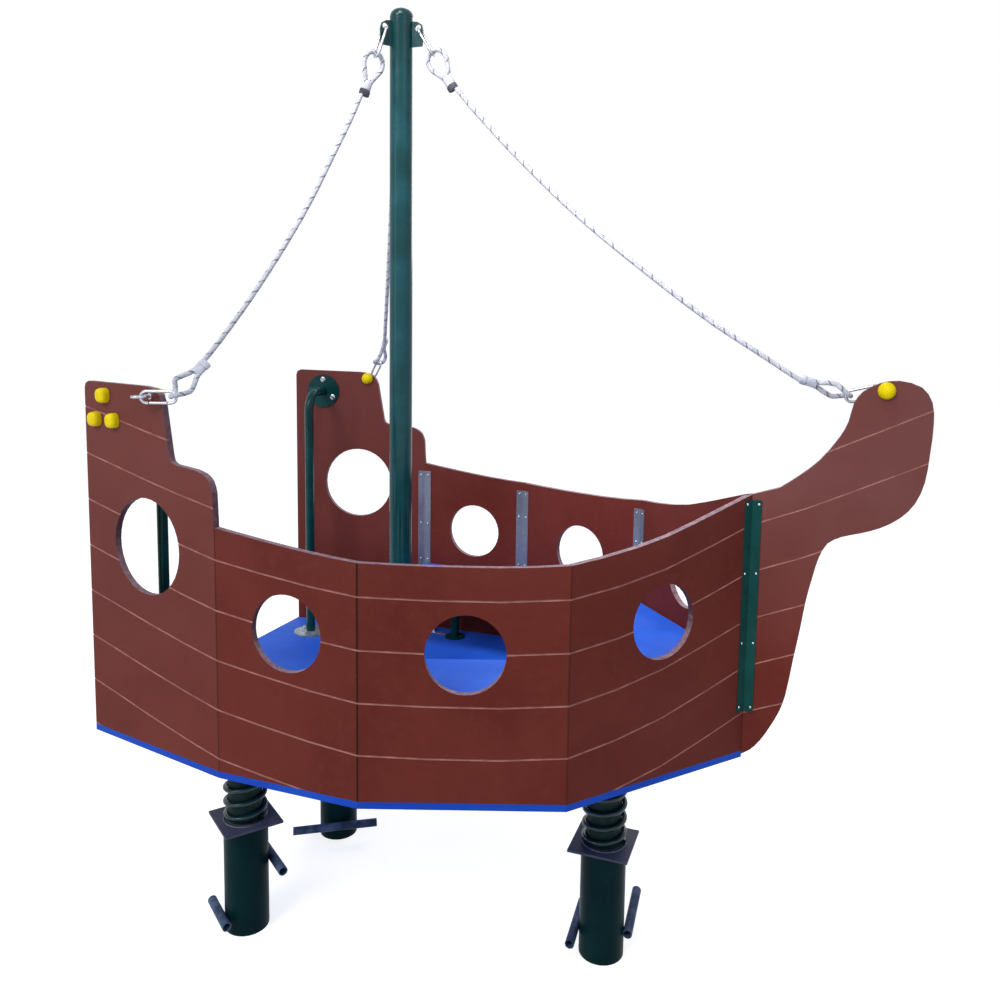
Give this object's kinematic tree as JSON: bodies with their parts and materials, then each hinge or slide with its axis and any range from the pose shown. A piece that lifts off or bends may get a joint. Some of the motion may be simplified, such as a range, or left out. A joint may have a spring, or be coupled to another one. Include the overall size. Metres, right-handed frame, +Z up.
{
  "type": "spring rider",
  "caption": "Ship-shaped play platform on coil springs: panelled hull with portholes, bench, prow board, mast with rope stays, grab rails and ground anchors.",
  "frame": {"origin": "middle of the overall box in plan, at the lower ends of the anchor tubes", "axes": "+Z up, +X towards the bow, the hull's mirror plane is y = 0 apart from the fittings"},
  "size_m": [2.607, 1.5343, 3.3143],
  "materials": {
    "green": "dark green powder coat, satin",
    "zinc": "hot-dip galvanised",
    "plate": "dark grey coat",
    "board": "coloured laminate board, satin",
    "deck": "blue board, fine texture",
    "core": "matt",
    "yellow": "gloss",
    "rope": "braided, with dark flecks"
  },
  "bodies": {
    "anchors": {"anchor_stern_starboard": "green", "base_plate_stern_starboard": "plate", "anchor_stern_port": "green", "base_plate_stern_port": "plate", "anchor_bow": "green", "base_plate_bow": "plate"},
    "springs": {"spring_coil_stern_starboard": "green", "spring_core_stern_starboard": "core", "spring_coil_stern_port": "green", "spring_core_stern_port": "core", "spring_coil_bow": "green", "spring_core_bow": "core"},
    "hull": {"top_plate_stern_starboard": "zinc", "top_plate_stern_port": "zinc", "top_plate_bow": "zinc", "deck": "deck", "stern_quarter_panel_starboard": "board", "waist_panel_starboard": "board", "midship_panel_starboard": "board", "bow_panel_starboard": "board", "seam_bracket_aft_starboard": "zinc", "seam_bracket_mid_starboard": "zinc", "seam_bracket_fore_starboard": "zinc", "bow_bracket_starboard": "green", "grab_rail_starboard": "green", "stern_quarter_panel_port": "board", "waist_panel_port": "board", "midship_panel_port": "board", "bow_panel_port": "board", "seam_bracket_aft_port": "zinc", "seam_bracket_mid_port": "zinc", "seam_bracket_fore_port": "zinc", "bow_bracket_port": "green", "grab_rail_port": "green", "prow_panel": "board", "bench": "deck", "bench_frame": "green", "mast": "green", "mast_cap": "green", "eye_bolt_starboard": "zinc", "nut_cap_starboard": "yellow", "rope_starboard": "rope", "carabiner_mast_starboard": "zinc", "carabiner_hull_starboard": "zinc", "eye_bolt_port": "zinc", "nut_cap_port": "yellow", "rope_port": "rope", "carabiner_mast_port": "zinc", "carabiner_hull_port": "zinc", "eye_bolt_bow": "zinc", "nut_cap_bow": "yellow", "rope_bow": "rope", "carabiner_mast_bow": "zinc", "carabiner_hull_bow": "zinc"},
    "gate_mast_starboard": {"gate_mast_starboard": "zinc"},
    "gate_hull_starboard": {"gate_hull_starboard": "zinc"},
    "gate_mast_port": {"gate_mast_port": "zinc"},
    "gate_hull_port": {"gate_hull_port": "zinc"},
    "gate_mast_bow": {"gate_mast_bow": "zinc"},
    "gate_hull_bow": {"gate_hull_bow": "zinc"}
  },
  "joints": [
    {"name": "spring_pitch", "type": "hinge", "parent": "anchors", "child": "springs", "pos_m": [-0.5, 0, 0.61], "axis": [0, 1, 0], "range_deg": [-3, 3], "stiffness_Nm_per_rad": 53000, "deforming": ["spring_coil_stern_starboard", "spring_core_stern_starboard", "spring_coil_stern_port", "spring_core_stern_port", "spring_coil_bow", "spring_core_bow"]},
    {"name": "spring_roll", "type": "hinge", "parent": "springs", "child": "hull", "pos_m": [0, 0, 0.61], "axis": [1, 0, 0], "range_deg": [-3, 3], "stiffness_Nm_per_rad": 11000},
    {"name": "gate_hull_bow_hinge", "type": "hinge", "parent": "hull", "child": "gate_hull_bow", "pos_m": [1.14089, 0.0555, 2.00507], "axis": [0, 1, 0], "range_deg": [0, 28], "stiffness_Nm_per_rad": 0.3, "springref_deg": -34.38},
    {"name": "gate_hull_port_hinge", "type": "hinge", "parent": "hull", "child": "gate_hull_port", "pos_m": [-0.94589, 0.72177, 1.98871], "axis": [-0.5592, -0.829, 0], "range_deg": [0, 28], "stiffness_Nm_per_rad": 0.3, "springref_deg": -34.38},
    {"name": "gate_hull_starboard_hinge", "type": "hinge", "parent": "hull", "child": "gate_hull_starboard", "pos_m": [-0.94527, -0.73065, 1.96], "axis": [0.342, -0.9397, 0], "range_deg": [0, 28], "stiffness_Nm_per_rad": 0.3, "springref_deg": -34.38},
    {"name": "gate_mast_bow_hinge", "type": "hinge", "parent": "hull", "child": "gate_mast_bow", "pos_m": [-0.37448, -0.018, 3.21317], "axis": [0.848, 0, 0.5299], "range_deg": [0, 16], "stiffness_Nm_per_rad": 0.3, "springref_deg": -34.38},
    {"name": "gate_mast_port_hinge", "type": "hinge", "parent": "hull", "child": "gate_mast_port", "pos_m": [-0.4859, 0.07109, 3.20976], "axis": [-0.5574, 0.7672, 0.3173], "range_deg": [0, 16], "stiffness_Nm_per_rad": 0.3, "springref_deg": -34.38},
    {"name": "gate_mast_starboard_hinge", "type": "hinge", "parent": "hull", "child": "gate_mast_starboard", "pos_m": [-0.51502, -0.04992, 3.20976], "axis": [-0.5574, -0.7672, 0.3173], "range_deg": [0, 16], "stiffness_Nm_per_rad": 0.3, "springref_deg": -34.38}
  ]
}
